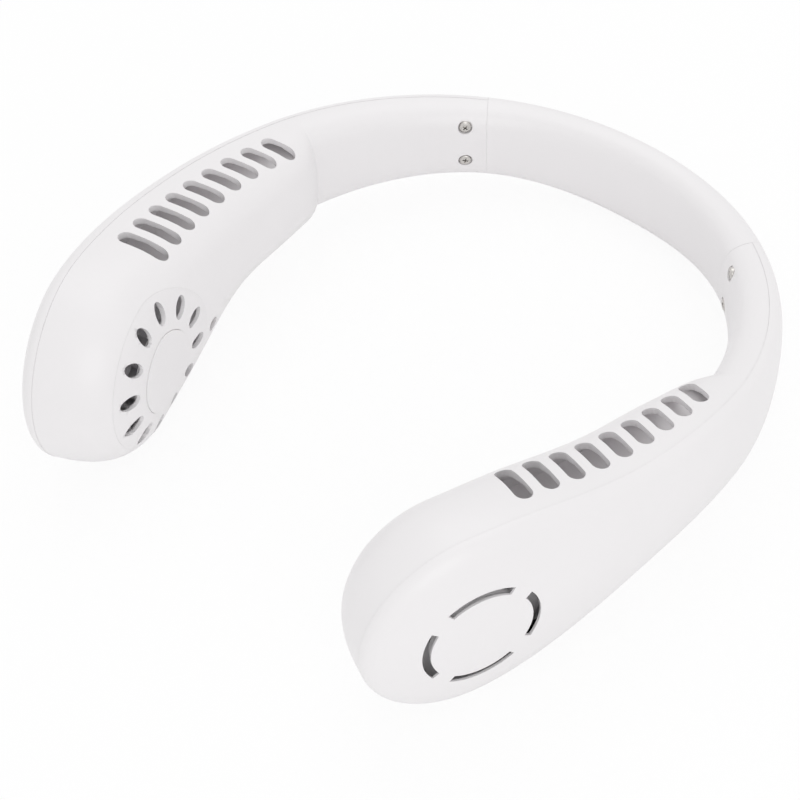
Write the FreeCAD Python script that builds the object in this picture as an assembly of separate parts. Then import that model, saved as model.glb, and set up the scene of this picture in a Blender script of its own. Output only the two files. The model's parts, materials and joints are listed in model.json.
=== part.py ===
import FreeCAD, Part
import math
import os

V = FreeCAD.Vector
os.makedirs("parts", exist_ok=True)

# Hands-free neck fan, millimetres. +Z up, open end toward -Y, mirror plane X = 0.
# Left and right are the wearer's: left is +X, right is -X. The right arm holds the controls.

# Plan line of the crown (outermost line of the outer skin), from the nape forward
NAPE_R = 91.8
NAPE_TURN = 48.5
SIDE_R = 103.5
SIDE_TURN = 34.0
ARM_R = 201.0
ARM_TURN = 29.0
# Pod (fan housing at the end of an arm): a round lens on its own axis
POD_R = 32.3
POD_UP = 32.3
POD_THICK = 35.6
POD_CROWN = 8.4

NAPE_L = NAPE_R * math.radians(NAPE_TURN)
SIDE_L = SIDE_R * math.radians(SIDE_TURN)
ARM_L = ARM_R * math.radians(ARM_TURN)
POD_S = NAPE_L + SIDE_L + ARM_L

# Stations along the crown: the neck's from the nape, the arm's back from the pod axis
SEAM_S = 59.0
SPIGOT_S = 75.0
NECK_S = 60.0
SIDE_S = 120.0
CREASE_S = POD_S - 111.86
SHOULDER_S = POD_S - 90.86
WAIST_S = POD_S - 60.86
FULL_S = POD_S - 28.86
ROUND_S = POD_S - 20.86
# Heights of the lower and upper ridge, thickness and crown depth along the line
CREASE_THICK = 17.3
LOW = ((0, 0.0), (NECK_S, 5.9), (SIDE_S, 8.4), (WAIST_S, 12.3), (POD_S, POD_UP - POD_R))
HIGH = ((0, 31.2), (NECK_S, 34.4), (SIDE_S, 42.8), (WAIST_S, 54.0), (POD_S, POD_UP + POD_R))
NECK_THICK = ((0, 12.8), (NECK_S, 14.4), (CREASE_S, CREASE_THICK))
NECK_SLOPE = 0.05
ARM_THICK = ((CREASE_S, CREASE_THICK), (SHOULDER_S, 27.4), (WAIST_S, 31.9), (FULL_S, POD_THICK), (POD_S, POD_THICK))
CREASE_SLOPE = 1.15
CROWN = ((0, 5.3), (SIDE_S, 5.0), (WAIST_S, 6.4), (ROUND_S, POD_CROWN), (POD_S, POD_CROWN))
# Fullness of the outer and inner half of a section (2 is an ellipse)
OUT_POWER = 2.44
IN_POWER = 2.78
# Flats across a half section of the hidden walls
FLATS = 8

WALL = 1.8
PARTING = 0.06
STEP = 0.1
FIT = 0.15
SPIGOT_FIT = 0.5
END_GAP = 0.1
PRESS = 0.01
PAST = 1.0

# Air slots
SLOTS = 9
SLOT_FIRST_S = POD_S - 22.26
SLOT_PITCH = 9.06
SLOT_W = 5.2
SLOT_BACK = 4.9
SLOT_LONG = 15.0
SLOT_SHORT = 10.8
SLOT_TURN = 21.5

# Intake rosette: a disc of the inner skin on a skirt, with petal holes and a plain cap
ROSETTE_R = POD_R - 7.7
ROSETTE_T = 2.0
SKIRT_T = 0.8
LEDGE_IN = ROSETTE_R - SKIRT_T
LEDGE_T = 1.4
ROSETTE_FIT = 0.06
CAP_FIT = 0.1
SEAT = 0.05
PETALS = 12
PETAL_R_IN = 1.7
PETAL_R_OUT = 2.9
PETAL_OUT = LEDGE_IN - PETAL_R_OUT - 0.5
PETAL_IN = PETAL_OUT - 3.8
CAP_R = PETAL_IN - PETAL_R_IN - 2.3
CAP_T = 1.0
CAP_PROUD = 0.3

# Duct floor: a web in each half that parts the air duct under the slots from the works below it
WEB_T = 1.4
WEB_ROOM = 0.8
WEB_END = 4.0

# Arc intakes of the outer cover
ARC_OUT = 17.6
ARC_IN = 15.2
ARC_BRIDGE = 4.0

# Motor and impeller, along the pod axis from the ridge plane, outward positive
PAD_R = 14.5
PAD_Z = 5.0
BASE_R = 13.5
BASE_T = 1.5
TUBE_R = 3.2
TUBE_END = -8.6
BEARING_R = 2.2
SHAFT_R = 0.75
SHAFT_FIT = 0.03
STATOR_R = 8.6
STATOR_Z = -7.4
STATOR_H = 5.4
TEETH = 6
WINDING_W = 2.4
WINDING_IN = 4.4
WINDING_TIP = 0.6
MAGNET_R = 10.4
MAGNET_T = 1.3
MAGNET_Z = -8.2
MAGNET_H = 7.0
HUB_R = 11.6
HUB_END = -11.4
HUB_FLOOR = 1.6
HUB_NECK = 0.5
FAN_R = LEDGE_IN - 0.6
FAN_BACK = 0.4
FAN_PLATE = 1.0
FAN_ROOM = 1.0
SHROUD_IN = FAN_R - 3.0
BLADES = 20
BLADE_IN = 15.2
BLADE_T = 0.9
BLADE_SWEEP = 24.0

# Screws
SCREW_R = 0.9
HEAD_R = 2.0
HEAD_H = 1.2
HEAD_ROOM = 0.35
SHANK_ROOM = 0.12
BAND_SCREW_S = 67.2
BAND_SCREW_W = (9.0, -4.3)
BAND_SCREW_L = 4.0
BAND_SINK = 1.0
CHANNEL_OUT = 3.6
CHANNEL_IN = 9.4
CHANNEL_ROOM = 2.2
CASE_SCREW_W = -9.0
CASE_SCREW_L = 9.0
CASE_SINK = 2.6
CASE_BOSS_R = 3.2
CASE_SCREW_S = POD_S - ROSETTE_R - WALL - CASE_BOSS_R - 5.26
CASE_BOSS_L = 5.0
COVER_BOSS_R = 2.4
SHANK_FIT = 0.03
MOTOR_SCREW_R = 0.6
MOTOR_SCREW_PCD = 9.6
MOTOR_SCREW_L = 3.0

# Controls on the right arm
BOARD_S = POD_S - 72.86
BOARD_L = 32.0
BOARD_H = 21.0
BOARD_T = 1.2
BOARD_U = -5.6
BOARD_LIFT = 1.6
POST_IN = 2.5
POST_R = 1.8
PORT_W = 9.0
PORT_H = 3.2
PORT_L = 7.3
PORT_R = 1.2
PORT_WALL = 0.35
PORT_ROOM = 0.2
PORT_SINK = 0.5
TONGUE_W = 6.6
TONGUE_T = 0.7
TONGUE_L = 5.2
BUTTON_AHEAD = 3.0
BUTTON_R = 4.6
BUTTON_UP = 0.8
BUTTON_FLANGE_R = 5.6
BUTTON_FLANGE_T = 0.8
BUTTON_ROOM = 0.2
FLANGE_ROOM = 0.6
SWITCH_W = 4.6
SWITCH_T = 1.7
PLUNGER_R = 1.1
PLUNGER_ROOM = 0.15
PLUNGER_IN = 0.5
PLUNGER_WELL = 1.1

# Cells and wires
CELL_R = 7.0
CELL_L = 50.0
CELL_S = POD_S - 67.86
CELL_U = -17.5
CELL_Z = 24.2
CELL_CAP_R = 2.6
CELL_CAP_H = 0.8
RIB_IN = 8.0
RIB_T = 1.6
RIB_DROP = 2.0
WIRE_R = 0.8
WIRE_H = 2.6
WIRE_U = -5.5
WIRE_Z_CELL = 25.0
WIRE_BEND = 3.0
WIRE_GAP = 0.1
WIRE_ROOM = 0.5
LEAD_U = -3.9
LEAD_LAP = 6.0
CABLE_END = 0.8
CABLE_SLACK = 3.0


def crown_point(s):
    """plan position and heading of the crown line, s forward from the nape on the left arm"""
    x, y, turn = 0.0, 0.0, 0.0
    for radius, length in ((NAPE_R, NAPE_L), (SIDE_R, SIDE_L), (ARM_R, ARM_L)):
        run = min(s, length)
        if run <= 0:
            break
        end = turn + run / radius
        x += radius * (math.sin(end) - math.sin(turn))
        y += radius * (math.cos(end) - math.cos(turn))
        turn = end
        s -= run
    return x, y, turn


def middle_y():
    x, y, turn = crown_point(POD_S)
    front = y - POD_CROWN * math.cos(turn) - POD_R * math.sin(turn)
    return front / 2


MID_Y = middle_y()


def flow(knots, s, start=0.0, end=0.0):
    """smooth value at s through (s, value) knots with given end slopes"""
    slopes = [start]
    for a, b in zip(knots, knots[2:]):
        slopes.append((b[1] - a[1]) / (b[0] - a[0]))
    slopes.append(end)
    i = 0
    while i < len(knots) - 2 and s > knots[i + 1][0]:
        i += 1
    (s0, v0), (s1, v1) = knots[i], knots[i + 1]
    span = s1 - s0
    t = (s - s0) / span
    a = v0 * (1 + 2 * t) * (1 - t) ** 2 + v1 * (3 - 2 * t) * t * t
    return a + span * (slopes[i] * t * (1 - t) ** 2 - slopes[i + 1] * (1 - t) * t * t)


class Station:
    """cross-section of the fan at crown length s; negative s is the right arm"""

    def __init__(self, s, arm=None):
        side = -1.0 if s < 0 else 1.0
        s = abs(s)
        x, y, turn = crown_point(s)
        self.base = V(side * x, y - MID_Y, 0)
        self.out = V(side * math.sin(turn), math.cos(turn), 0)
        self.ahead = V(side * math.cos(turn), -math.sin(turn), 0)
        low = flow(LOW, s)
        high = flow(HIGH, s)
        self.mid = (low + high) / 2
        self.half = (high - low) / 2
        self.crown = flow(CROWN, s)
        if s > CREASE_S or arm:
            self.thick = flow(ARM_THICK, s, CREASE_SLOPE)
        else:
            self.thick = flow(NECK_THICK, s, 0.0, NECK_SLOPE)

    def at(self, u, z):
        return self.base + self.out * u + V(0, 0, z)

    def skin(self, w, wall=0.0):
        """inward position of the inner skin at height w from the middle"""
        part = 1 - (abs(w) / (self.half - wall)) ** IN_POWER
        return -self.crown - (self.thick - self.crown - wall) * part ** (1 / IN_POWER)

    def curve(self, outer, wall=0.0, joined=False):
        """half section from the lower ridge over the crown or the inner face to the upper ridge"""
        power = OUT_POWER if outer else IN_POWER
        depth = self.crown if outer else self.crown - self.thick
        depth -= math.copysign(wall, depth)
        half = self.half - wall
        start = -self.crown
        if not outer and not joined:
            half -= STEP
            start -= PARTING
            depth += PARTING
        handle = (8 * 2 ** (-1 / power) - 4) / 3
        shape = ((0, -1), (handle, -1), (1, -handle), (1, handle), (handle, 1), (0, 1))
        poles = [self.at(start + depth * a, self.mid + half * b) for a, b in shape]
        line = Part.BSplineCurve()
        line.buildFromPolesMultsKnots(poles, [4, 2, 4], [0.0, 1.0, 2.0], False, 3)
        return line


def chain(points):
    return [Part.LineSegment(a, b).toShape() for a, b in zip(points, points[1:])]


def half_edges(st, outer, wall, past=0.0, joined=False, first=0):
    """edges of a half section: one curve on the skin, flats on the hidden walls behind it

    past carries the ends of a cavity through the ridge plane; first = 1 gives the upper half only
    """
    line = st.curve(outer, wall, joined)
    if not wall:
        line.segment(first, 2)
        return [line.toShape()]
    points = [line.value(first + (2 - first) * k / FLATS) for k in range(FLATS + 1)]
    step = st.out * (-past if outer else past)
    points[-1] += step
    if first == 0:
        points[0] += step
    return chain(points)


def section(st, outer, wall, past):
    edges = half_edges(st, outer, wall, past)
    return Part.Wire(edges + chain([edges[-1].lastVertex().Point, edges[0].firstVertex().Point]))


def half_loft(stations, outer, wall=0.0, past=0.0):
    return Part.makeLoft([section(st, outer, wall, past) for st in stations], True, False)


def half_dome(st, outer, wall=0.0, past=0.0):
    """round end of a pod: the upper half section turned forward about the pod axis"""
    edges = half_edges(st, outer, wall, past, False, 1)
    top = edges[-1].lastVertex().Point
    corners = [top, V(top.x, top.y, st.mid), edges[0].firstVertex().Point]
    axis = V(0, 0, 1).cross(st.ahead)
    return Part.Face(Part.Wire(edges + chain(corners))).revolve(st.at(0, st.mid), axis, 180)


def ring_loft(stations, wall):
    """full section, outer and inner halves closed on each other"""
    wires = [Part.Wire(half_edges(st, True, wall, 0, True) + half_edges(st, False, wall, 0, True)) for st in stations]
    return Part.makeLoft(wires, True, False)


def spread(first, last, count):
    return [first + (last - first) * k / (count - 1) for k in range(count)]


def rod(start, direction, radius, length):
    return Part.makeCylinder(radius, length, start, direction)


def tube(z, r_out, r_in, height):
    return rod(V(0, 0, z), V(0, 0, 1), r_out, height).cut(rod(V(0, 0, z), V(0, 0, 1), r_in, height))


def save(name, shape):
    shape.exportStep("parts/" + name + ".step")


def pair(name, shape):
    """a piece on both arms: as built on the left, mirrored on the right"""
    save(name + "_left", shape)
    save(name + "_right", shape.mirror(V(0, 0, 0), V(1, 0, 0)))


def place(shape, st, u, z):
    """from local axes (x up, y ahead, z outward) to a station"""
    origin = st.at(u, z)
    m = FreeCAD.Matrix(0, st.ahead.x, st.out.x, origin.x,
                       0, st.ahead.y, st.out.y, origin.y,
                       1, st.ahead.z, st.out.z, origin.z,
                       0, 0, 0, 1)
    moved = shape.copy()
    moved.transformShape(m, True)
    return moved


def slab(size_x, size_y, size_z, z):
    """box centred on the local axis in x and y, standing on height z"""
    return Part.makeBox(size_x, size_y, size_z, V(-size_x / 2, -size_y / 2, z))


def around(shape, count, first=0.0):
    turned = []
    for k in range(count):
        copy = shape.copy()
        copy.rotate(V(0, 0, 0), V(0, 0, 1), first + 360.0 * k / count)
        turned.append(copy)
    return turned


def screw(radius, head_r, head_h, length):
    """pan screw along +z, head below z = 0, shank above"""
    head = rod(V(0, 0, -head_h), V(0, 0, 1), head_r, head_h)
    return head.fuse(rod(V(0, 0, 0), V(0, 0, 1), radius, length))


POD = Station(POD_S)
NECK_RUN = spread(SEAM_S, CREASE_S, 9)
ARM_RUN = spread(CREASE_S, POD_S, 15)
POD_Z = POD.mid


def on_pod(shape):
    """from pod axes with the origin on the ridge plane to the left pod"""
    return place(shape, POD, -POD_CROWN, POD_Z)


# Outer skins and cavities of an arm
def arm_solid(outer, wall=0.0, past=0.0):
    neck = [Station(s) for s in NECK_RUN]
    if past:
        neck[0] = Station(SEAM_S - past)
    arm = [Station(s, True) for s in ARM_RUN]
    body = half_loft(neck, outer, wall, past)
    return body.fuse([half_loft(arm, outer, wall, past), half_dome(POD, outer, wall, past)])


cover_body = arm_solid(True)
house_body = arm_solid(False)
cover_room = arm_solid(True, WALL, PAST)
house_room = arm_solid(False, WALL, PAST)
# What stands on a wall ends in its middle
cover_core = arm_solid(True, WALL / 2)
house_core = arm_solid(False, WALL / 2)


# Rosette dome in pod axes
def dome_z(r):
    return -(POD_THICK - POD_CROWN) * (1 - (r / POD_R) ** IN_POWER) ** (1 / IN_POWER)


def petal():
    lean = math.acos((PETAL_R_IN - PETAL_R_OUT) / (PETAL_OUT - PETAL_IN))
    ends = []
    for x, r, tip in ((PETAL_IN, PETAL_R_IN, -1), (PETAL_OUT, PETAL_R_OUT, 1)):
        side = V(x + r * math.cos(lean), r * math.sin(lean), 0)
        ends.append((side, V(x + tip * r, 0, 0), V(side.x, -side.y, 0)))
    (a, a_tip, b), (c, c_tip, d) = ends
    edges = [Part.Arc(a, a_tip, b).toShape(), Part.LineSegment(b, d).toShape(),
             Part.Arc(d, c_tip, c).toShape(), Part.LineSegment(c, a).toShape()]
    prism = Part.Face(Part.Wire(edges)).extrude(V(0, 0, POD_THICK))
    prism.translate(V(0, 0, -POD_THICK))
    return prism


def inward(radius, floor):
    """rod on the pod axis, from beyond the inner skin to a floor"""
    return on_pod(rod(V(0, 0, -POD_THICK), V(0, 0, 1), radius, POD_THICK + floor))


foot_z = dome_z(ROSETTE_R) + ROSETTE_T
ledge_back = foot_z + SEAT + LEDGE_T
cap_floor = dome_z(CAP_R) + CAP_T
rosette = house_body.common(inward(ROSETTE_R, foot_z))
rosette = rosette.cut(arm_solid(False, ROSETTE_T, PAST).common(inward(LEDGE_IN, foot_z + PAST)))
cap_plate = on_pod(rod(V(0, 0, cap_floor), V(0, 0, 1), CAP_R + WALL, ROSETTE_T))
petals = [on_pod(p) for p in around(petal(), PETALS, 180.0 / PETALS)]
rosette = rosette.fuse(cap_plate).cut([inward(CAP_R + CAP_FIT, cap_floor)] + petals)
cap = house_body.common(inward(CAP_R, cap_floor - SEAT + CAP_PROUD))
cap.translate(POD.out * -CAP_PROUD)


def slot(k):
    """rounded slot across the top of the arm, all slots parallel in plan"""
    st = Station(SLOT_FIRST_S - SLOT_PITCH * k)
    length = SLOT_LONG + (SLOT_SHORT - SLOT_LONG) * k / (SLOTS - 1)
    across = V(-math.cos(math.radians(SLOT_TURN)), math.sin(math.radians(SLOT_TURN)), 0)
    side = V(-across.y, across.x, 0) * (SLOT_W / 2)
    start = st.at(-st.crown - SLOT_BACK, st.mid) + across * (SLOT_W / 2)
    end = start + across * (length - SLOT_W)
    nose = across * (SLOT_W / 2)
    edges = [Part.Arc(start + side, start - nose, start - side).toShape(),
             Part.LineSegment(start - side, end - side).toShape(),
             Part.Arc(end - side, end + nose, end + side).toShape(),
             Part.LineSegment(end + side, start + side).toShape()]
    return Part.Face(Part.Wire(edges)).extrude(V(0, 0, POD_R + st.half))


# Housing: the inner half of an arm, with the slots and the rosette's cup
web_z = Station(BOARD_S).mid + BUTTON_FLANGE_R + WEB_ROOM
web_rear = Station(CREASE_S + WEB_END)
web_front = Station(POD_S - ROSETTE_R - WALL - WEB_END)
web_plan = [st.at(u, web_z) for st, u in ((web_rear, POD_R), (web_front, POD_R),
                                          (web_front, -2 * POD_R), (web_rear, -2 * POD_R))]
web = Part.Face(Part.makePolygon(web_plan + web_plan[:1])).extrude(V(0, 0, WEB_T))
cup = house_core.common(inward(ROSETTE_R + WALL, ledge_back))
house = house_body.cut(house_room).cut([slot(k) for k in range(SLOTS)])
house = house.fuse([cup, web.common(house_core)]).cut([inward(ROSETTE_R + ROSETTE_FIT, foot_z + SEAT), inward(LEDGE_IN, ledge_back + PAST)])

# Screws: two hold an arm on the band's spigot, one closes the case beside the pod
band_st = Station(BAND_SCREW_S)
band_seats = [(band_st.skin(w) + BAND_SINK, band_st.mid + w) for w in BAND_SCREW_W]
sink = rod(V(0, 0, -POD_CROWN), V(0, 0, 1), HEAD_R + HEAD_ROOM, POD_CROWN)
shank_way = rod(V(0, 0, -POD_CROWN), V(0, 0, 1), SCREW_R + SHANK_ROOM, POD_CROWN + BAND_SCREW_L)
band_holes = [place(sink.fuse(shank_way), band_st, u, z) for u, z in band_seats]
band_pilots = [place(rod(V(0, 0, 0), V(0, 0, 1), SCREW_R + SHANK_ROOM / 2, BAND_SCREW_L + FIT), band_st, u, z)
               for u, z in band_seats]
band_screws = [place(screw(SCREW_R, HEAD_R, HEAD_H, BAND_SCREW_L), band_st, u, z) for u, z in band_seats]

case_st = Station(CASE_SCREW_S)
case_z = case_st.mid + CASE_SCREW_W
case_u = case_st.skin(CASE_SCREW_W) + CASE_SINK
boss_top = CASE_BOSS_L - CASE_SINK
case_boss = place(rod(V(0, 0, -CASE_SINK - WALL), V(0, 0, 1), CASE_BOSS_R, CASE_BOSS_L + WALL),
                  case_st, case_u, case_z).common(house_core)
case_hole = place(sink.fuse(shank_way), case_st, case_u, case_z)
house = house.fuse(case_boss).cut(band_holes + [case_hole])
case_screw = place(screw(SCREW_R, HEAD_R, HEAD_H, CASE_SCREW_L), case_st, case_u, case_z)
cover_boss = place(rod(V(0, 0, boss_top + FIT), V(0, 0, 1), COVER_BOSS_R, -case_u),
                   case_st, case_u, case_z).common(cover_core.fuse(house_room))
case_pilot = place(rod(V(0, 0, 0), V(0, 0, 1), SCREW_R + SHANK_ROOM / 2, CASE_SCREW_L + FIT),
                   case_st, case_u, case_z)

# Cell, cradled by two ribs on the housing floor
cell_st = Station(CELL_S)
cell_axis = rod(V(0, -CELL_L / 2, 0), V(0, 1, 0), CELL_R, CELL_L)
cell_tip = rod(V(0, CELL_L / 2, 0), V(0, 1, 0), CELL_CAP_R, CELL_CAP_H)
cell = place(cell_axis.fuse(cell_tip), cell_st, CELL_U, CELL_Z)
nest = place(rod(V(0, -CELL_L, 0), V(0, 1, 0), CELL_R + FIT, 2 * CELL_L), cell_st, CELL_U, CELL_Z)
ribs = []
for along in (-CELL_L / 2 + RIB_IN, CELL_L / 2 - RIB_IN):
    rib = Part.makeBox(CELL_Z - RIB_DROP, RIB_T, 2 * CELL_R, V(-CELL_Z, along - RIB_T / 2, -CELL_R))
    ribs.append(place(rib, cell_st, CELL_U, CELL_Z).common(house_core).cut(nest))
house = house.fuse(ribs)

# Cover: the outer half of an arm, with the arc intakes and the motor pad
arcs = tube(0, ARC_OUT, ARC_IN, 2 * POD_CROWN)
bridge = slab(3 * ARC_OUT, ARC_BRIDGE, 2 * POD_CROWN, 0)
arcs = arcs.cut(around(bridge, 4, 45.0))
pad = rod(V(0, 0, PAD_Z), V(0, 0, 1), PAD_R, POD_CROWN - WALL / 2 - PAD_Z)
motor_spot = rod(V(MOTOR_SCREW_PCD, 0, PAD_Z - BASE_T - FIT), V(0, 0, 1), MOTOR_SCREW_R + SHANK_FIT,
                 MOTOR_SCREW_L + 2 * FIT)
motor_pilots = around(motor_spot, 3)
cover = cover_body.cut(cover_room).fuse([on_pod(pad), cover_boss, web.common(cover_core)])
cover = cover.cut([on_pod(arcs), case_pilot] + [on_pod(p) for p in motor_pilots])

# Motor: base with bearing tube, sleeve bearing, stator, windings, magnet ring, shaft
bore_top = PAD_Z - BASE_T / 2
base = rod(V(0, 0, PAD_Z - BASE_T), V(0, 0, 1), BASE_R, BASE_T)
base = base.fuse(rod(V(0, 0, TUBE_END), V(0, 0, 1), TUBE_R, PAD_Z - BASE_T - TUBE_END))
base = base.cut(rod(V(0, 0, TUBE_END), V(0, 0, 1), BEARING_R + PRESS, bore_top - TUBE_END))
base = base.cut(motor_pilots)
bearing = tube(TUBE_END, BEARING_R, SHAFT_R + SHAFT_FIT, PAD_Z - BASE_T - TUBE_END)
notch = Part.makeBox(STATOR_R, WINDING_W, STATOR_H, V(WINDING_IN, -WINDING_W / 2, STATOR_Z))
stator = tube(STATOR_Z, STATOR_R, TUBE_R + PRESS, STATOR_H).cut(around(notch, TEETH))
coil = Part.makeBox(STATOR_R - WINDING_IN - WINDING_TIP, WINDING_W - 2 * PRESS, STATOR_H,
                    V(WINDING_IN + PRESS, -WINDING_W / 2 + PRESS, STATOR_Z))
windings = Part.makeCompound(around(coil, TEETH))
magnet = tube(MAGNET_Z, MAGNET_R, MAGNET_R - MAGNET_T, MAGNET_H)
shaft = rod(V(0, 0, HUB_END + HUB_FLOOR / 4), V(0, 0, 1), SHAFT_R, bore_top - FIT - HUB_END - HUB_FLOOR / 4)
motor_screw = screw(MOTOR_SCREW_R, 2 * MOTOR_SCREW_R, MOTOR_SCREW_R, MOTOR_SCREW_L)
motor_screw.translate(V(MOTOR_SCREW_PCD, 0, PAD_Z - BASE_T))
motor_screws = Part.makeCompound(around(motor_screw, 3))


# Impeller: hub cup over the magnet ring, back plate, curved blades and shroud ring
def polar(r, degrees, z):
    a = math.radians(degrees)
    return V(r * math.cos(a), r * math.sin(a), z)


def blade(low):
    """flat blade, leaning back from the hub side to the rim"""
    start = polar(BLADE_IN, 0, low)
    end = polar(FAN_R - BLADE_T, BLADE_SWEEP, low)
    side = (end - start).cross(V(0, 0, 1)).normalize() * BLADE_T
    outline = Part.makePolygon([start, end, end + side, start + side, start])
    return Part.Face(outline).extrude(V(0, 0, FAN_BACK - FAN_PLATE / 2 - low))


hub = rod(V(0, 0, HUB_END), V(0, 0, 1), HUB_R, FAN_BACK - HUB_END)
plate = rod(V(0, 0, FAN_BACK - FAN_PLATE), V(0, 0, 1), FAN_R, FAN_PLATE)
cup = rod(V(0, 0, HUB_END + HUB_FLOOR), V(0, 0, 1), MAGNET_R + PRESS, FAN_BACK - HUB_END)
nut = rod(V(0, 0, HUB_END), V(0, 0, 1), BEARING_R, HUB_FLOOR + HUB_NECK)
shaft_way = rod(V(0, 0, HUB_END + HUB_FLOOR / 4), V(0, 0, 1), SHAFT_R + PRESS, HUB_FLOOR + HUB_NECK)
impeller = hub.fuse(plate).cut(cup).fuse(nut).cut(shaft_way)
shroud_z = foot_z + FAN_ROOM
shroud = tube(shroud_z, FAN_R, SHROUD_IN, FAN_PLATE)
impeller = impeller.fuse(around(blade(shroud_z), BLADES) + [shroud])

# Neck band: a curved tube with a spigot at each end and a channel for the cables
motor_cable_z = POD_Z - BASE_R - WIRE_ROOM - WIRE_H / 2
band = ring_loft([Station(s) for s in spread(-SEAM_S + END_GAP, SEAM_S - END_GAP, 13)], 0.0)
for side in (-1, 1):
    tongue = [Station(side * s) for s in spread(SEAM_S - WALL, SPIGOT_S, 3)]
    band = band.fuse(ring_loft(tongue, WALL + SPIGOT_FIT))
nape = V(0, -NAPE_R - MID_Y, 0)
sweep = math.degrees((SPIGOT_S + PAST) / NAPE_R)
start = Station(-SPIGOT_S - PAST)
channel_low = motor_cable_z - WIRE_H / 2 - CHANNEL_ROOM
channel_high = WIRE_Z_CELL + WIRE_H / 2 + CHANNEL_ROOM
mouth_face = [start.at(-u, z) for u, z in ((CHANNEL_OUT, channel_low), (CHANNEL_IN, channel_low),
                                           (CHANNEL_IN, channel_high), (CHANNEL_OUT, channel_high))]
channel = Part.Face(Part.makePolygon(mouth_face + mouth_face[:1])).revolve(nape, V(0, 0, -1), 2 * sweep)
mirrored = [p.mirror(V(0, 0, 0), V(1, 0, 0)) for p in band_pilots]
band = band.cut([channel] + band_pilots + mirrored)

# Controls, built on the left and mirrored to the right arm
board_st = Station(BOARD_S)
board_z = flow(LOW, BOARD_S) + WALL + BOARD_LIFT + BOARD_H / 2
board = slab(BOARD_H, BOARD_L, BOARD_T, -BOARD_T)
post_at = [V(x, y, 0) for x, y in ((BOARD_H / 2 - POST_IN, BOARD_L / 2 - POST_IN),
                                   (BOARD_H / 2 - POST_IN, POST_IN - BOARD_L / 2))]
post_hole = [rod(p + V(0, 0, -BOARD_T - FIT), V(0, 0, 1), MOTOR_SCREW_R + SHANK_FIT, MOTOR_SCREW_L + BOARD_T)
             for p in post_at]
board = place(board.cut(post_hole), board_st, BOARD_U, board_z)
posts = [place(rod(p, V(0, 0, 1), POST_R, -BOARD_U), board_st, BOARD_U, board_z).common(cover_core)
         for p in post_at]
post_bores = [place(p, board_st, BOARD_U, board_z) for p in post_hole]
board_screws = []
for p in post_at:
    small = screw(MOTOR_SCREW_R, 2 * MOTOR_SCREW_R, MOTOR_SCREW_R, MOTOR_SCREW_L)
    small.translate(p + V(0, 0, -BOARD_T))
    board_screws.append(place(small, board_st, BOARD_U, board_z))


def round_bar(width, height, radius, length, start):
    """bar along x with a rounded section, width along y and height along z"""
    bar = Part.makeBox(length, width, height, V(start, -width / 2, -height / 2))
    return bar.makeFillet(radius, [e for e in bar.Edges if abs(e.tangentAt(e.FirstParameter).x) > 0.9])


port_low = flow(LOW, BOARD_S) + PORT_SINK
port_u = BOARD_U - BOARD_T - PORT_H / 2
shell = round_bar(PORT_W, PORT_H, PORT_R, PORT_L, 0)
well = round_bar(PORT_W - 2 * PORT_WALL, PORT_H - 2 * PORT_WALL, PORT_R - PORT_WALL, PORT_L - PORT_WALL, -PORT_WALL)
tongue = Part.makeBox(TONGUE_L, TONGUE_W, TONGUE_T, V(PORT_L - TONGUE_L - PORT_WALL, -TONGUE_W / 2, -TONGUE_T / 2))
port = place(shell.cut(well).fuse(tongue), board_st, port_u, port_low)
mouth = round_bar(PORT_W + 2 * PORT_ROOM, PORT_H + 2 * PORT_ROOM, PORT_R + PORT_ROOM, PORT_L + PAST * 4, -PAST * 4)
mouth = place(mouth, board_st, port_u, port_low)

# Button, switch and plunger share one axis, outward height equal to u
wall_in = -WALL - FLANGE_ROOM
press_axis = V(0, 0, 1)


def on_button(shape):
    shape.translate(V(0, BUTTON_AHEAD, 0))
    return place(shape, board_st, 0, board_st.mid)


flange_low = wall_in - BUTTON_FLANGE_T
button = rod(V(0, 0, flange_low), press_axis, BUTTON_FLANGE_R, BUTTON_FLANGE_T)
button = button.fuse(rod(V(0, 0, flange_low), press_axis, BUTTON_R, BUTTON_UP - flange_low))
button_way = rod(V(0, 0, -POD_CROWN), press_axis, BUTTON_R + BUTTON_ROOM, 2 * POD_CROWN)
switch_top = BOARD_U + SWITCH_T
switch = slab(SWITCH_W, SWITCH_W, SWITCH_T, BOARD_U)
switch = switch.cut(rod(V(0, 0, switch_top - PLUNGER_WELL), press_axis, PLUNGER_R + PLUNGER_ROOM, PLUNGER_WELL))
plunger = rod(V(0, 0, switch_top - PLUNGER_IN), press_axis, PLUNGER_R, flange_low - switch_top + PLUNGER_IN)


# Wires: two cables from the board through the band to the left arm, and two short leads
def run(first, last, u, z):
    """arcs beside the crown line from station first to last"""
    turns = (-NAPE_L - SIDE_L, -NAPE_L, NAPE_L, NAPE_L + SIDE_L)
    stops = [first] + [t for t in turns if first < t < last] + [last]
    edges = []
    for a, b in zip(stops, stops[1:]):
        ends = [Station(s).at(u, z) for s in (a, (a + b) / 2, b)]
        edges.append(Part.Arc(*ends).toShape())
    return edges


def bend(start, heading, toward):
    """quarter bend from one heading to another, with its end point"""
    lean = math.sqrt(0.5)
    middle = start + (heading * lean + toward * (1 - lean)) * WIRE_BEND
    end = start + (heading + toward) * WIRE_BEND
    return Part.Arc(start, middle, end).toShape(), end


def swept(edges, start, heading):
    """flat wire standing on edge along a level route"""
    side = heading.cross(V(0, 0, 1)) * WIRE_R
    rise = V(0, 0, WIRE_H / 2)
    corners = [start + side + rise, start + side - rise, start - side - rise, start - side + rise]
    profile = Part.makePolygon(corners + corners[:1])
    return Part.Wire(edges).makePipeShell([profile], True, True)


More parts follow.
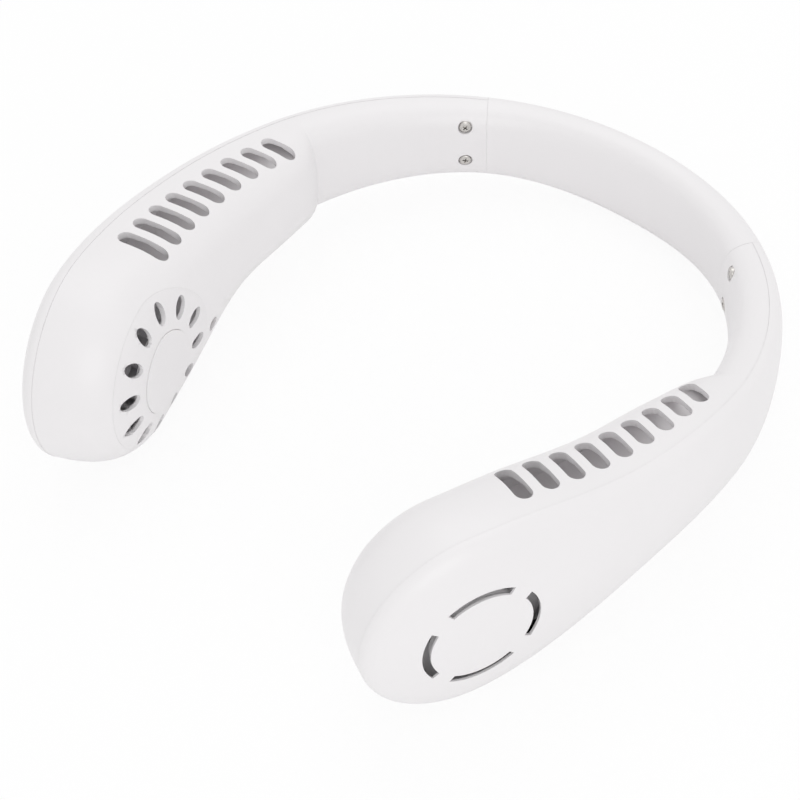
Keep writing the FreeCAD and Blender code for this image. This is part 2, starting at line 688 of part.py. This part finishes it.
board_rear = BOARD_S - BOARD_L / 2
first = Station(-board_rear + CABLE_END)
motor_cable = run(-board_rear + CABLE_END, POD_S - WIRE_R, WIRE_U, motor_cable_z)
motor_cable = swept(motor_cable, first.at(WIRE_U, motor_cable_z), first.ahead)

cell_rear = cell_st.at(CELL_U, WIRE_Z_CELL) - cell_st.ahead * (CELL_L / 2 + WIRE_GAP)
turn_s = CELL_S - CELL_L / 2 - 2 * WIRE_BEND - CABLE_SLACK
cable_edges = run(-board_rear + CABLE_END, turn_s, WIRE_U, WIRE_Z_CELL)
turn_st = Station(turn_s)
edge, point = bend(turn_st.at(WIRE_U, WIRE_Z_CELL), turn_st.ahead, turn_st.out * -1)
cable_edges.append(edge)
depth = (point - cell_rear).dot(turn_st.out) - WIRE_BEND
next_point = point - turn_st.out * depth
cable_edges.append(Part.LineSegment(point, next_point).toShape())
edge, point = bend(next_point, turn_st.out * -1, turn_st.ahead)
cable_edges.append(edge)
reach = (cell_rear - point).dot(cell_st.ahead) / turn_st.ahead.dot(cell_st.ahead) - WIRE_R / 2
cable_edges.append(Part.LineSegment(point, point + turn_st.ahead * reach).toShape())
cell_cable = swept(cable_edges, first.at(WIRE_U, WIRE_Z_CELL), first.ahead)

lead_z = case_z + COVER_BOSS_R + WIRE_ROOM + WIRE_H / 2
lead_s = BOARD_S + BOARD_L / 2 - LEAD_LAP
lead_st = Station(lead_s)
lead = run(lead_s, POD_S - math.sqrt(BASE_R ** 2 - (POD_Z - lead_z) ** 2) - CABLE_END, LEAD_U, lead_z)
motor_lead = swept(lead, lead_st.at(LEAD_U, lead_z), lead_st.ahead)

cell_lead_z = (motor_cable_z + WIRE_Z_CELL) / 2
lead_start = cell_st.at(CELL_U, cell_lead_z) - cell_st.ahead * (CELL_L / 2 + WIRE_GAP)
edge, point = bend(lead_start, cell_st.ahead * -1, cell_st.out)
lead_edges = [edge]
board_edge = board_st.at(BOARD_U - BOARD_T / 2, cell_lead_z) - board_st.ahead * (BOARD_L / 2 + WIRE_GAP)
rise = (board_edge - point).dot(cell_st.out) - WIRE_BEND
next_point = point + cell_st.out * rise
lead_edges.append(Part.LineSegment(point, next_point).toShape())
edge, point = bend(next_point, cell_st.out, cell_st.ahead)
lead_edges.append(edge)
cell_lead = swept(lead_edges, lead_start, cell_st.ahead * -1)

# Pieces on both arms
for name, shape in (("impeller", impeller), ("motor_base", base), ("bearing", bearing), ("stator", stator),
                    ("windings", windings), ("magnet_ring", magnet), ("motor_shaft", shaft),
                    ("motor_screws", motor_screws)):
    pair(name, on_pod(shape))
pair("rosette", rosette)
pair("rosette_cap", cap)
pair("band_screws", Part.makeCompound(band_screws))
pair("case_screw", case_screw)
pair("cell", cell)

# The right arm's housing and cover carry the port, the button and the board
save("housing_left", house)
save("cover_left", cover)
save("neck_band", band)
right_only = {"housing_right": house.cut(mouth),
              "cover_right": cover.fuse(posts).cut(post_bores + [on_button(button_way)]),
              "control_board": board, "board_screws": Part.makeCompound(board_screws),
              "charging_port": port, "power_switch": on_button(switch),
              "switch_plunger": on_button(plunger), "power_button": on_button(button),
              "motor_lead_right": motor_lead, "cell_lead_right": cell_lead}
for name, shape in right_only.items():
    save(name, shape.mirror(V(0, 0, 0), V(1, 0, 0)))
save("motor_cable", motor_cable)
save("cell_cable", cell_cable)
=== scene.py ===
import json
import math

import bmesh
import bpy
from mathutils import Matrix, Vector
from mathutils.bvhtree import BVHTree


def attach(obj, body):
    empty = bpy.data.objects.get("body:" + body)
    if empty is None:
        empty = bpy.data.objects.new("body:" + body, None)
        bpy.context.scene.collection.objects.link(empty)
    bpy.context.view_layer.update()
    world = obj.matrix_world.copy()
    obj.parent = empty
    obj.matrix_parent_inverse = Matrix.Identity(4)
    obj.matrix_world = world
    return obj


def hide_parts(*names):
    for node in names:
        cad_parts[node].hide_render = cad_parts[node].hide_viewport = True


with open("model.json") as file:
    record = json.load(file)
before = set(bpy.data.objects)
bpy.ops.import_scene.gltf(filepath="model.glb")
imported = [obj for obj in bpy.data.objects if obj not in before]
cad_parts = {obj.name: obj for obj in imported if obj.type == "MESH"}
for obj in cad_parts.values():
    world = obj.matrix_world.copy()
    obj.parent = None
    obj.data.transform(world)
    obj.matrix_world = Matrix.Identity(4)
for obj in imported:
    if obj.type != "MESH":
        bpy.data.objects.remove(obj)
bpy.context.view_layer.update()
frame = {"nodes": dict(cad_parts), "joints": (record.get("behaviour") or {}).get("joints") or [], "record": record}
nodes = frame["nodes"]

# Sizes are in metres. The left arm lies on +X, and the right arm is its mirror image
ARMS = {"left": 1, "right": -1}
# Points closer than this are one point
NEAR = 1e-6

# Screws: rounded pan heads with a cross recess that narrows to its tip, and threaded shanks
HEAD_R = 0.0020
HEAD_H = 0.0012
HEAD_ROUND = 0.0006
HEAD_ROUND_STEPS = 6
HEAD_FACETS = 48
SHANK_R = 0.0009
SHANK_FACETS = 24
THREAD_PITCH = 0.0005
THREAD_ROOT = 0.78
CROSS_ARM = 0.00125
CROSS_W = 0.00048
CROSS_DEEP = 0.0008
CROSS_TIP = (0.5, 0.7, 1.0)
SCREW_SMOOTH_ANGLE = math.radians(35)
# Seats under the heads on the left arm, the way the shanks point, and how long they are
BAND_SEATS = ((0.052921, 0.073554, 0.029749), (0.052311, 0.072876, 0.016449))
BAND_WAY = (0.6684, 0.7438, 0.0)
BAND_SHANK = 0.004
CASE_SEATS = ((0.060106, -0.039687, 0.02429),)
CASE_WAY = (0.9797, -0.2004, 0.0)
CASE_SHANK = 0.009
# How far the cross of an arm's first screw is turned, and each further one beyond it
CROSS_TURN = math.radians(40)
CROSS_TURN_STEP = math.radians(65)

# Petals of the rosette: cut as the hull of two circles, each with a distance from the axis and a radius,
# and drawn in to an oval of a half length and a half width
PETALS = 12
PETAL_IN = 0.0166
PETAL_OUT = 0.0204
PETAL_R_IN = 0.0017
PETAL_R_OUT = 0.0029
PETAL_HALF_LONG = 0.0036
PETAL_HALF_WIDE = 0.0022
# Rim of the rosette, and what it grows by to close its seam
ROSETTE_R = 0.0246
ROSETTE_SNUG = 0.00005
# Arc slots of the cover: their radii, half their angle, the share of it that stays, and the radii past which
# the skin no longer follows
ARCS = 4
ARC_IN = 0.0152
ARC_OUT = 0.0176
ARC_HALF = math.radians(39)
ARC_SHORT = 0.88
ARC_FADE_IN = 0.0115
ARC_FADE_OUT = 0.0215
# Both grilles: how near a rim its points lie, how much a hole's edge is thinned from behind, how far from the
# pod's middle plane a skin lies, and how squarely it faces along the axis
RIM = 0.00004
LIP_RELIEF = 0.0011
SKIN_OFF = 0.001
SKIN_FACING = 0.5
# Seams of the shells: the widest that is closed, and what stays open
SEAM_MOST = 0.00015
HAIRLINE = 0.00002
# Reshaped copies: triangles thinner than this go, and edges up to this angle look round
SLIVER = 0.00005
SMOOTH_ANGLE = math.radians(30)

# White ABS: sizes of its flow ripple and mould grain, relief of the grain, and radius of its edges
ABS_IOR = 1.53
FLOW_RIPPLE = 0.045
MOULD_GRAIN = 0.0011
GRAIN_RELIEF = 0.00002
ABS_EDGE = 0.00015
ABS_EDGE_SAMPLES = 6
ABS_GLOSS_SPREAD = 0.05
# Plated steel: size of its bloom, and its least and most roughness
BLOOM = 0.0009
STEEL_ROUGH = (0.16, 0.30)
# Inner works: how far roughness strays, and how strongly the relief shows
GRIT_GLOSS_SPREAD = 0.08
GRIT_STRENGTH = 0.4

# Floor: its size, how far it lies below the fan, and how much of it is plain white to the camera
FLOOR_SIZE = 6.0
FLOOR_DROP = 0.0002
FLOOR_WHITE = 0.88
PAPER_ROUGH = 0.9
# Soft boxes overhead and on the camera's side: place, point looked at, width and watts
SOFT_BOXES = {
    "soft_box_top": ((-0.25, 0.35, 0.95), (0, 0, 0.02), 0.9, 1.6),
    "soft_box_front": ((0.75, -0.55, 0.55), (0, 0, 0.03), 0.7, 1.6),
}
# Sky: its light on the fan, and its brightness where it is seen or mirrored
SKY_LIGHT = 0.83
SKY_SEEN = 1.0
# White walls pass light on many times before a duct's inside goes dark
DIFFUSE_BOUNCES = 12

# Camera: where it looks, from which side, how far away and how long its lens is
LOOK_AT = Vector((-0.0022008, -0.017447, 0.0108874))
AZIMUTH = math.radians(42.7252)
ELEVATION = math.radians(48.5153)
ROLL = math.radians(-2.1354)
DISTANCE = 0.6287239
FOCAL_PX = 2095.68
FRAME_PX = 800
SENSOR_MM = 36.0


# Finishes

def srgb(hex_colour):
    """linear colour of an sRGB hex value"""
    out = []
    for i in (0, 2, 4):
        c = int(hex_colour[i:i + 2], 16) / 255
        out.append(c / 12.92 if c <= 0.04045 else ((c + 0.055) / 1.055) ** 2.4)
    return (*out, 1.0)


def add(tree, kind, links=None, **settings):
    """one node with its settings; links names an input and the socket or value that feeds it"""
    node = tree.nodes.new(kind)
    for key, value in settings.items():
        setattr(node, key, value)
    for key, value in (links or {}).items():
        if isinstance(value, bpy.types.NodeSocket):
            tree.links.new(value, node.inputs[key])
        else:
            node.inputs[key].default_value = value
    return node


def start_material(name, **constants):
    """new material with a Principled shader; constants are set on the shader's own sockets"""
    material = bpy.data.materials.new(name)
    material.use_nodes = True
    tree = material.node_tree
    shader = tree.nodes["Principled BSDF"]
    for key, value in constants.items():
        shader.inputs[key.replace("_", " ")].default_value = value
    return material, tree, shader


def mottle(tree, shader, colour, shade, size, detail):
    """base colour that wanders between two colours over one real size; returns the pattern"""
    place = add(tree, "ShaderNodeTexCoord").outputs["Object"]
    noise = add(tree, "ShaderNodeTexNoise", {"Vector": place, "Scale": 1 / size, "Detail": detail})
    tint = add(tree, "ShaderNodeMix", {"Factor": noise.outputs["Fac"], "A": srgb(colour), "B": srgb(shade)},
               data_type="RGBA")
    tree.links.new(tint.outputs["Result"], shader.inputs["Base Color"])
    return noise.outputs["Fac"]


def white_abs(name, colour, shade, rough, peel):
    """Moulded white ABS: bright and even, a soft gloss over a faint flow ripple, edges broken by the tool.

    The mould grain is drawn coarser than the real one, so that it shows.
    """
    material, tree, shader = start_material(name, IOR=ABS_IOR)
    mottle(tree, shader, colour, shade, size=FLOW_RIPPLE, detail=2.0)
    place = add(tree, "ShaderNodeTexCoord").outputs["Object"]
    noise = add(tree, "ShaderNodeTexNoise", {"Vector": place, "Scale": 1 / MOULD_GRAIN, "Detail": 3.0})
    grain = noise.outputs["Fac"]
    sheen = add(tree, "ShaderNodeMapRange", {"Value": grain, "To Min": rough - ABS_GLOSS_SPREAD,
                                             "To Max": rough + ABS_GLOSS_SPREAD})
    tree.links.new(sheen.outputs["Result"], shader.inputs["Roughness"])
    edge = add(tree, "ShaderNodeBevel", {"Radius": ABS_EDGE}, samples=ABS_EDGE_SAMPLES)
    bump = add(tree, "ShaderNodeBump", {"Height": grain, "Strength": peel, "Distance": GRAIN_RELIEF,
                                        "Normal": edge.outputs["Normal"]})
    tree.links.new(bump.outputs["Normal"], shader.inputs["Normal"])
    return material


def plated_steel(name, colour, shade):
    """Nickel-plated screw steel: bright, slightly warm, with a faint bloom that softens its gloss."""
    material, tree, shader = start_material(name, Metallic=1.0)
    bloom = mottle(tree, shader, colour, shade, size=BLOOM, detail=3.0)
    matt = add(tree, "ShaderNodeMapRange", {"Value": bloom, "To Min": STEEL_ROUGH[0],
                                            "To Max": STEEL_ROUGH[1]})
    tree.links.new(matt.outputs["Result"], shader.inputs["Roughness"])
    return material


def speckled(name, colour, shade, size, rough, relief, **constants):
    """Inner works: colour, gloss and relief that vary over one real size, as grain or sinter pores do."""
    material, tree, shader = start_material(name, **constants)
    grit = mottle(tree, shader, colour, shade, size=size, detail=4.0)
    matt = add(tree, "ShaderNodeMapRange", {"Value": grit, "To Min": rough - GRIT_GLOSS_SPREAD,
                                            "To Max": rough + GRIT_GLOSS_SPREAD})
    tree.links.new(matt.outputs["Result"], shader.inputs["Roughness"])
    bump = add(tree, "ShaderNodeBump", {"Height": grit, "Strength": GRIT_STRENGTH, "Distance": relief})
    tree.links.new(bump.outputs["Normal"], shader.inputs["Normal"])
    return material


def paper_sweep(name, colour):
    """White paper: matt under light and shadow, and mostly plain white where the camera looks at it."""
    material, tree, shader = start_material(name, Base_Color=srgb(colour), Roughness=PAPER_ROUGH)
    seen = add(tree, "ShaderNodeLightPath")
    glow = add(tree, "ShaderNodeEmission", {"Strength": 1.0})
    share = add(tree, "ShaderNodeMath", {0: seen.outputs["Is Camera Ray"], 1: FLOOR_WHITE},
                operation="MULTIPLY")
    both = add(tree, "ShaderNodeMixShader", {0: share.outputs[0], 1: shader.outputs[0], 2: glow.outputs[0]})
    tree.links.new(both.outputs[0], tree.nodes["Material Output"].inputs["Surface"])
    return material


screw_steel = plated_steel("nickel_plated_steel", "D9D6D2", "B9B6B3")
FINISH = {
    "white_shell": white_abs("gloss_white_abs", "EFEDEE", "EBE9EA", rough=0.34, peel=0.10),
    "white_trim": white_abs("satin_white_abs", "EEECED", "EAE8E9", rough=0.42, peel=0.14),
    "fan_plastic": white_abs("white_wheel_abs", "EFEEEF", "EAE9EA", rough=0.45, peel=0.14),
    "dark_plastic": speckled("black_glass_filled_nylon", "17181A", "202124", size=0.0004, rough=0.55,
                             relief=0.00002),
    "brass_sleeve": speckled("sintered_bronze", "A87C46", "8A6337", size=0.0003, rough=0.45, relief=0.00003,
                             Metallic=1.0),
    "core_steel": speckled("silicon_steel", "8E8F92", "77787B", size=0.0005, rough=0.40, relief=0.00001,
                           Metallic=1.0),
    "copper_wire": speckled("enamelled_copper", "B5623A", "9A4E2C", size=0.0003, rough=0.30, relief=0.00003,
                            Metallic=1.0),
    "magnet": speckled("ferrite_magnet", "2B2B2D", "1F1F21", size=0.0003, rough=0.62, relief=0.00002),
    "screw_steel": screw_steel,
    "cell_can": speckled("pvc_cell_wrap", "2F5E93", "2A5484", size=0.0020, rough=0.36, relief=0.00002,
                         IOR=1.53),
    "board_laminate": speckled("green_board_laminate", "14532F", "0F4526", size=0.0012, rough=0.40,
                               relief=0.00002),
    "port_metal": speckled("stainless_port_shell", "C9C9CB", "B4B4B7", size=0.0006, rough=0.30,
                           relief=0.00001, Metallic=1.0),
    "wire_jacket": speckled("silicone_wire_jacket", "26272A", "1E1F21", size=0.0008, rough=0.55,
                            relief=0.00002, IOR=1.43),
}
for subpart in frame["record"]["subparts"]:
    skin = nodes[subpart["node"]].data
    skin.materials.clear()
    skin.materials.append(FINISH[subpart["material_slot"]])


# Modelling by hand

def alone(piece):
    """piece is the one selected and active object"""
    bpy.ops.object.select_all(action="DESELECT")
    bpy.context.view_layer.objects.active = piece
    piece.select_set(True)


def pick(piece, kind, test):
    """edit mode with the piece's verts or edges that pass a test selected"""
    alone(piece)
    bpy.ops.object.mode_set(mode="EDIT")
    bpy.ops.mesh.select_mode(type={"verts": "VERT", "edges": "EDGE"}[kind])
    bpy.ops.mesh.select_all(action="DESELECT")
    mesh = bmesh.from_edit_mesh(piece.data)
    for part in getattr(mesh, kind):
        if test(part):
            part.select_set(True)
    bmesh.update_edit_mesh(piece.data)


def drum(radius, height, low, facets):
    """round blank standing on height low, its place in its mesh"""
    bpy.ops.object.select_all(action="DESELECT")
    bpy.ops.mesh.primitive_cylinder_add(vertices=facets, radius=radius, depth=height,
                                        location=(0, 0, low + height / 2))
    bpy.ops.object.transform_apply()
    return bpy.context.object


# Screws

def cross_bit():
    """four-armed bit, narrower at its tip, for the recess in a screw head"""
    bpy.ops.object.select_all(action="DESELECT")
    bpy.ops.mesh.primitive_cube_add(size=1.0)
    bit = bpy.context.object
    pick(bit, "verts", lambda v: True)
    bpy.ops.transform.resize(value=(2 * CROSS_ARM, CROSS_W, 2 * CROSS_DEEP), center_override=(0, 0, 0))
    bpy.ops.object.mode_set(mode="OBJECT")
    pick(bit, "verts", lambda v: v.co.z > 0)
    bpy.ops.transform.resize(value=CROSS_TIP, center_override=(0, 0, 0))
    bpy.ops.mesh.select_all(action="SELECT")
    bpy.ops.mesh.duplicate()
    bpy.ops.transform.rotate(value=math.pi / 2, orient_axis="Z", center_override=(0, 0, 0))
    bpy.ops.mesh.select_all(action="SELECT")
    bpy.ops.transform.translate(value=(0, 0, -HEAD_H))
    bpy.ops.object.mode_set(mode="OBJECT")
    return bit


def cross_head_screw(length):
    """pan-head screw along +z, its head below z = 0 and its threaded shank above"""
    head = drum(HEAD_R, HEAD_H, -HEAD_H, HEAD_FACETS)
    pick(head, "edges", lambda e: all(v.co.z < -HEAD_H + NEAR for v in e.verts))
    bpy.ops.mesh.bevel(offset=HEAD_ROUND, segments=HEAD_ROUND_STEPS, affect="EDGES")
    bpy.ops.object.mode_set(mode="OBJECT")
    bit = cross_bit()
    cut = head.modifiers.new("recess", "BOOLEAN")
    cut.object = bit
    cut.use_self = True
    alone(head)
    bpy.ops.object.modifier_apply(modifier="recess")
    bpy.data.objects.remove(bit)
    shank = drum(SHANK_R, length, 0.0, SHANK_FACETS)
    turns = round(length / THREAD_PITCH)
    ring = length / (2 * turns)
    pick(shank, "edges", lambda e: abs(e.verts[0].co.z - e.verts[1].co.z) > ring)
    bpy.ops.mesh.subdivide(number_cuts=2 * turns - 1)
    bpy.ops.object.mode_set(mode="OBJECT")
    pick(shank, "verts", lambda v: round(v.co.z / ring) % 2 == 0)
    bpy.ops.transform.resize(value=(THREAD_ROOT, THREAD_ROOT, 1.0), center_override=(0, 0, 0))
    bpy.ops.object.mode_set(mode="OBJECT")
    alone(head)
    shank.select_set(True)
    bpy.ops.object.join()
    bpy.ops.object.shade_smooth_by_angle(angle=SCREW_SMOOTH_ANGLE)
    head.data.materials.clear()
    head.data.materials.append(screw_steel)
    return head


def seat_screws(name, node, pattern, seats, way, side):
    """copies of a screw on their seats as one piece that stands for a node; side -1 is the right arm"""
    copies = []
    for i, seat in enumerate(seats):
        copy = pattern.copy()
        copy.data = pattern.data.copy()
        bpy.context.scene.collection.objects.link(copy)
        aim = Vector((side * way[0], way[1], way[2])).to_track_quat("Z", "Y").to_matrix().to_4x4()
        drive = Matrix.Rotation(CROSS_TURN + CROSS_TURN_STEP * i, 4, "Z")
        copy.matrix_world = Matrix.Translation((side * seat[0], seat[1], seat[2])) @ aim @ drive
        copies.append(copy)
    alone(copies[0])
    for copy in copies[1:]:
        copy.select_set(True)
    bpy.ops.object.transform_apply()
    if len(copies) > 1:
        bpy.ops.object.join()
    copies[0].name = name
    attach(copies[0], "frame")
    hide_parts(node)


band_screw = cross_head_screw(BAND_SHANK)
case_screw = cross_head_screw(CASE_SHANK)
for arm, side in ARMS.items():
    seat_screws("cross_head_band_screws_" + arm, "band_screws_" + arm, band_screw, BAND_SEATS, BAND_WAY, side)
    seat_screws("cross_head_case_screw_" + arm, "case_screw_" + arm, case_screw, CASE_SEATS, CASE_WAY, side)
bpy.data.objects.remove(band_screw)
bpy.data.objects.remove(case_screw)


# Grilles of the pods and seams of the shells

def pod_frame(arm):
    """place of a pod: x along the arm, y up, z outward along its fan's axis"""
    spin = next(joint for joint in frame["joints"] if joint["name"] == "fan_spin_" + arm)
    out = Vector(spin["axis"]).normalized()
    up = Vector((0.0, 0.0, 1.0))
    turn = Matrix((up.cross(out), up, out)).transposed().to_4x4()
    return Matrix.Translation(spin["pos_m"]) @ turn


def petal_move(radius, angle):
    """where a point on a rim of the rosette goes and whether it is thinned, or None off the rims"""
    if radius > ROSETTE_R - RIM:
        return radius + ROSETTE_SNUG, angle, False
    turn = 2 * math.pi / PETALS
    own = (math.floor(angle / turn) + 0.5) * turn
    x, y = radius * math.cos(angle - own), radius * math.sin(angle - own)
    long = PETAL_OUT - PETAL_IN
    lean = (PETAL_R_IN - PETAL_R_OUT) / long
    flank = math.sqrt(1 - lean * lean)
    along = flank * (x - PETAL_IN) - lean * abs(y)
    if along < 0:
        reach = math.hypot(x - PETAL_IN, y) - PETAL_R_IN
    elif along > flank * long:
        reach = math.hypot(x - PETAL_OUT, y) - PETAL_R_OUT
    else:
        reach = flank * abs(y) + lean * (x - PETAL_IN) - PETAL_R_IN
    if reach > RIM:
        return None
    middle = (PETAL_IN + PETAL_OUT + PETAL_R_OUT - PETAL_R_IN) / 2
    tip = PETAL_OUT + PETAL_R_OUT - middle
    round_by = math.atan2(y / PETAL_R_OUT, (x - middle) / tip)
    x, y = middle + PETAL_HALF_LONG * math.cos(round_by), PETAL_HALF_WIDE * math.sin(round_by)
    return math.hypot(x, y), own + math.atan2(y, x), True


def arc_move(radius, angle):
    """where a point by the arc slots goes and whether it is thinned, or None away from them

    The slots get shorter, the bridges between them wider, and the skin on both sides of the ring follows.
    """
    turn = 2 * math.pi / ARCS
    own = round(angle / turn) * turn
    off = abs(angle - own)
    follow_in = (radius - ARC_FADE_IN) / (ARC_IN - ARC_FADE_IN)
    follow_out = (ARC_FADE_OUT - radius) / (ARC_FADE_OUT - ARC_OUT)
    follow = min(follow_in, follow_out, 1.0)
    if follow <= 0:
        return None
    on_slot = off < ARC_HALF
    bridge = turn / 2
    if on_slot:
        new = off * ARC_SHORT
    else:
        new = bridge - (bridge - off) * (bridge - ARC_HALF * ARC_SHORT) / (bridge - ARC_HALF)
    new = off + (new - off) * follow
    on_rim = on_slot and ARC_IN - RIM < radius < ARC_OUT + RIM
    return radius, own + math.copysign(new, angle - own), on_rim


def working_copy(name, node):
    """merged copy of a node's mesh that stands for the node"""
    piece = bpy.data.objects.new(name, nodes[node].data.copy())
    bpy.context.scene.collection.objects.link(piece)
    pick(piece, "verts", lambda v: True)
    bpy.ops.mesh.remove_doubles(threshold=NEAR)
    bpy.ops.mesh.customdata_custom_splitnormals_clear()
    bpy.ops.object.mode_set(mode="OBJECT")
    bpy.ops.object.shade_smooth_by_angle(angle=SMOOTH_ANGLE)
    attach(piece, "frame")
    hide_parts(node)
    return piece


def trim_holes(piece, arm, hidden, move):
    """a pod grille's holes drawn in to the photo's size, with their edges thinned on the hidden side

    hidden is 1 where that side faces outward along the pod's axis, and -1 where it faces inward.
    """
    pod = pod_frame(arm)
    piece.data.transform(pod.inverted())
    alone(piece)
    bpy.ops.object.mode_set(mode="EDIT")
    mesh = bmesh.from_edit_mesh(piece.data)
    mesh.normal_update()
    steps = []
    for vert in mesh.verts:
        x, y = vert.co.x, vert.co.y
        goal = move(math.hypot(x, y), math.atan2(y, x))
        skins = [face for face in vert.link_faces if abs(face.normal.z) > SKIN_FACING]
        facing = sum((face.normal * face.calc_area() for face in skins), Vector())
        if goal is None or abs(vert.co.z) < SKIN_OFF or not facing.length:
            continue
        radius, angle, thinned = goal
        dx, dy = radius * math.cos(angle) - x, radius * math.sin(angle) - y
        dz = -(facing.x * dx + facing.y * dy) / facing.z
        if thinned and facing.z * hidden > 0:
            dz -= hidden * LIP_RELIEF
        steps.append((vert, Vector((dx, dy, dz))))
    bpy.ops.mesh.select_all(action="DESELECT")
    for vert, step in steps:
        vert.co += step
        vert.select_set(True)
    mesh.select_flush(True)
    bmesh.update_edit_mesh(piece.data)
    bpy.ops.mesh.dissolve_degenerate(threshold=SLIVER)
    bpy.ops.mesh.quads_convert_to_tris()
    bpy.ops.object.mode_set(mode="OBJECT")
    piece.data.transform(pod)


def close_seam(piece, node):
    """the piece's butt faces come up to the node's but for a hairline, as under the pull of the screws"""
    shell = nodes[node].data
    walls = BVHTree.FromPolygons([v.co for v in shell.vertices], [f.vertices for f in shell.polygons])
    alone(piece)
    bpy.ops.object.mode_set(mode="EDIT")
    mesh = bmesh.from_edit_mesh(piece.data)
    mesh.normal_update()
    steps = {}
    for face in mesh.faces:
        gap = walls.ray_cast(face.calc_center_median(), face.normal, SEAM_MOST)[3]
        if gap is not None:
            steps.update((vert, face.normal * max(gap - HAIRLINE, 0.0)) for vert in face.verts)
    for vert, step in steps.items():
        vert.co += step
    bmesh.update_edit_mesh(piece.data)
    bpy.ops.object.mode_set(mode="OBJECT")


band = working_copy("seamed_neck_band", "neck_band")
for arm in ARMS:
    rosette = working_copy("slim_petal_rosette_" + arm, "rosette_" + arm)
    trim_holes(rosette, arm, 1, petal_move)
    cover = working_copy("arc_slot_cover_" + arm, "cover_" + arm)
    trim_holes(cover, arm, -1, arc_move)
    close_seam(cover, "housing_" + arm)
    close_seam(band, "housing_" + arm)
    close_seam(band, "cover_" + arm)


# Stage: a paper floor, soft boxes and an even sky

def soft_box(name, place, aim, size, watts):
    """square area lamp looking at a point"""
    lamp = bpy.data.lights.new(name, "AREA")
    lamp.size = size
    lamp.energy = watts
    holder = bpy.data.objects.new(name, lamp)
    holder.location = place
    holder.rotation_euler = (Vector(aim) - Vector(place)).to_track_quat("-Z", "Y").to_euler()
    bpy.context.scene.collection.objects.link(holder)


def even_sky():
    """world that lights the fan a little under white and is white to the camera, to metal and to glass"""
    world = bpy.data.worlds.new("even_sky")
    world.use_nodes = True
    sky = world.node_tree
    look = add(sky, "ShaderNodeLightPath")
    direct = add(sky, "ShaderNodeMath", {0: look.outputs["Is Camera Ray"], 1: look.outputs["Is Glossy Ray"]},
                 operation="MAXIMUM")
    clear = add(sky, "ShaderNodeMath", {0: direct.outputs[0], 1: look.outputs["Is Transmission Ray"]},
                operation="MAXIMUM")
    level = add(sky, "ShaderNodeMapRange", {"Value": clear.outputs[0], "To Min": SKY_LIGHT,
                                            "To Max": SKY_SEEN})
    sky.links.new(level.outputs["Result"], sky.nodes["Background"].inputs["Strength"])
    sky.nodes["Background"].inputs["Color"].default_value = (1.0, 1.0, 1.0, 1.0)
    return world


bpy.ops.object.select_all(action="DESELECT")
bpy.ops.mesh.primitive_plane_add(size=FLOOR_SIZE, location=(0, 0, -FLOOR_DROP))
floor = bpy.context.object
floor.name = "floor"
floor.data.materials.append(paper_sweep("white_paper_sweep", "FBFBFB"))
for name, (place, aim, size, watts) in SOFT_BOXES.items():
    soft_box(name, place, aim, size, watts)
bpy.context.scene.world = even_sky()


# Camera at the photo's viewing angle

def photo_camera():
    """camera that looks at the fan from one side, from above and slightly rolled"""
    back = Vector((math.sin(AZIMUTH) * math.cos(ELEVATION), -math.cos(AZIMUTH) * math.cos(ELEVATION),
                   math.sin(ELEVATION)))
    level_right = Vector((math.cos(AZIMUTH), math.sin(AZIMUTH), 0.0))
    level_up = back.cross(level_right)
    right = level_right * math.cos(ROLL) + level_up * math.sin(ROLL)
    up = level_up * math.cos(ROLL) - level_right * math.sin(ROLL)
    lens = bpy.data.cameras.new("camera")
    lens.sensor_width = SENSOR_MM
    lens.lens = FOCAL_PX / FRAME_PX * SENSOR_MM
    camera = bpy.data.objects.new("camera", lens)
    turn = Matrix((right, up, back)).transposed().to_4x4()
    camera.matrix_world = Matrix.Translation(LOOK_AT + back * DISTANCE) @ turn
    bpy.context.scene.collection.objects.link(camera)
    return camera


bpy.context.scene.camera = photo_camera()
bpy.context.scene.view_settings.view_transform = "Standard"
bpy.context.scene.cycles.diffuse_bounces = DIFFUSE_BOUNCES
